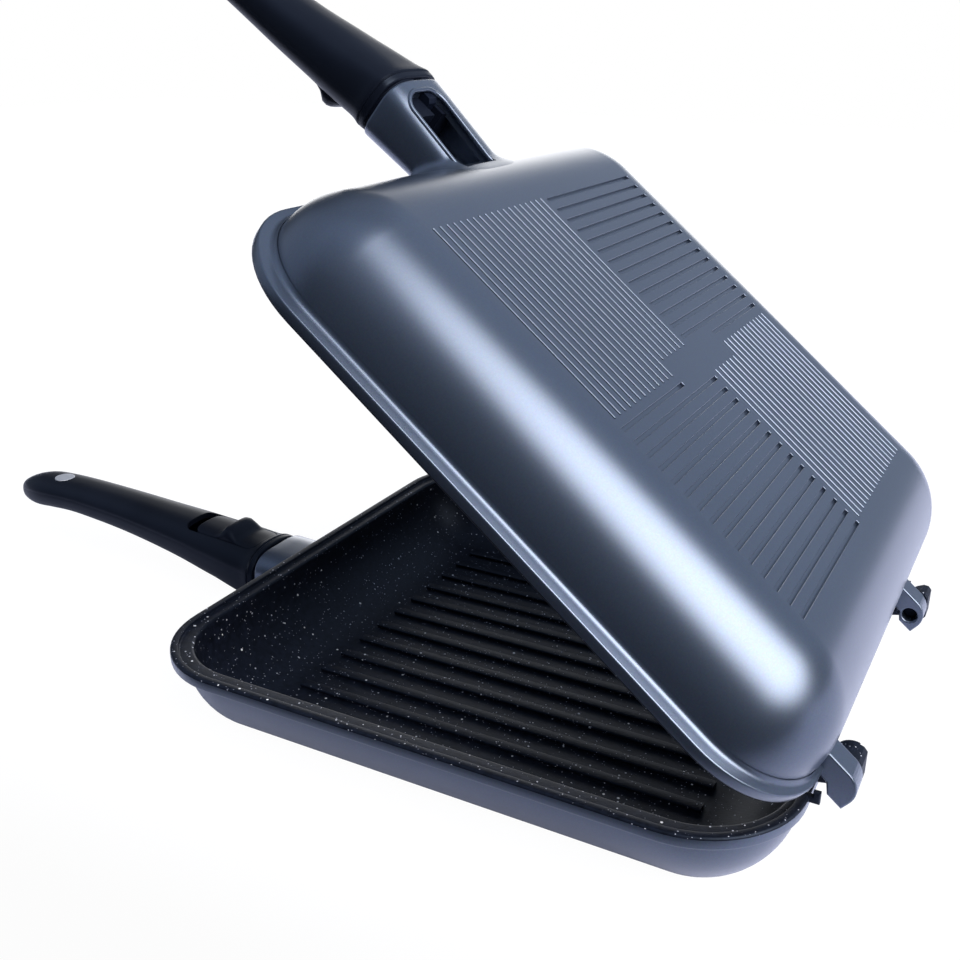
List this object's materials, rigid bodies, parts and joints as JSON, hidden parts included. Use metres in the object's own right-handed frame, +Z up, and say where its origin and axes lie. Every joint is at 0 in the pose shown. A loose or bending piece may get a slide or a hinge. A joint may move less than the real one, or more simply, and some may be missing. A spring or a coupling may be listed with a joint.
{
  "type": "double sided flip pan",
  "caption": "Hinged double sided flip pan with ribbed square dishes, long twin handles, release sliders and magnets.",
  "frame": {"origin": "middle of the lower half's rim, on the flat underside of its base, where the pan stands", "axes": "+Z up, +X from the handles towards the hinge, +Y from the near side towards the far side"},
  "size_m": [0.4454, 0.2414, 0.3229],
  "materials": {
    "painted_casting": "semi-gloss metallic",
    "handle_plastic": "satin",
    "slider_plastic": "satin",
    "inner_plastic": "matte",
    "steel": "satin",
    "dark_steel": "satin",
    "spring_steel": "bright drawn",
    "magnet_plate": "polished"
  },
  "bodies": {
    "lower": {"lower_pan": "painted_casting", "hinge_pin_near": "steel", "hinge_pin_far": "steel", "lower_handle_base": "handle_plastic", "lower_handle_cover": "handle_plastic", "lower_tang": "inner_plastic", "lower_tang_screws": "steel", "lower_slider_spring": "spring_steel", "lower_lever_pin": "steel", "lower_magnet": "magnet_plate", "lower_shell_screw": "steel"},
    "lid": {"upper_pan": "painted_casting", "upper_handle_base": "handle_plastic", "upper_handle_cover": "handle_plastic", "upper_tang": "inner_plastic", "upper_tang_screws": "steel", "upper_slider_spring": "spring_steel", "upper_lever_pin": "steel", "upper_magnet": "magnet_plate", "upper_shell_screw": "steel"},
    "lower_slider": {"lower_release_slider": "slider_plastic"},
    "lower_latch": {"lower_latch_lever": "dark_steel"},
    "lid_slider": {"upper_release_slider": "slider_plastic"},
    "lid_latch": {"upper_latch_lever": "dark_steel"}
  },
  "joints": [
    {"name": "lid_hinge", "type": "hinge", "parent": "lower", "child": "lid", "pos_m": [0.1295, 0, 0.0392], "axis": [0, 1, 0], "range_deg": [-39.16, 140.84]},
    {"name": "lower_slider_slide", "type": "slide", "parent": "lower", "child": "lower_slider", "axis": [-1, 0, 0], "range_m": [0, 0.004], "stiffness_N_per_m": 400, "springref_m": -0.004, "deforming": ["lower_slider_spring"]},
    {"name": "lower_latch_turn", "type": "hinge", "parent": "lower", "child": "lower_latch", "pos_m": [-0.1555, 0, 0.0124], "axis": [0, -1, 0], "range_deg": [0, 19.5]},
    {"name": "lid_slider_slide", "type": "slide", "parent": "lid", "child": "lid_slider", "axis": [-0.7754, 0, 0.6315], "range_m": [0, 0.004], "stiffness_N_per_m": 400, "springref_m": -0.004, "deforming": ["upper_slider_spring"]},
    {"name": "lid_latch_turn", "type": "hinge", "parent": "lid", "child": "lid_latch", "pos_m": [-0.07911, 0, 0.23437], "axis": [0, 1, 0], "range_deg": [0, 19.5]}
  ],
  "couplings": [
    {"joint": "lower_latch_turn", "follows": "lower_slider_slide", "rad_per_m": 83.333},
    {"joint": "lid_latch_turn", "follows": "lid_slider_slide", "rad_per_m": 83.333}
  ]
}
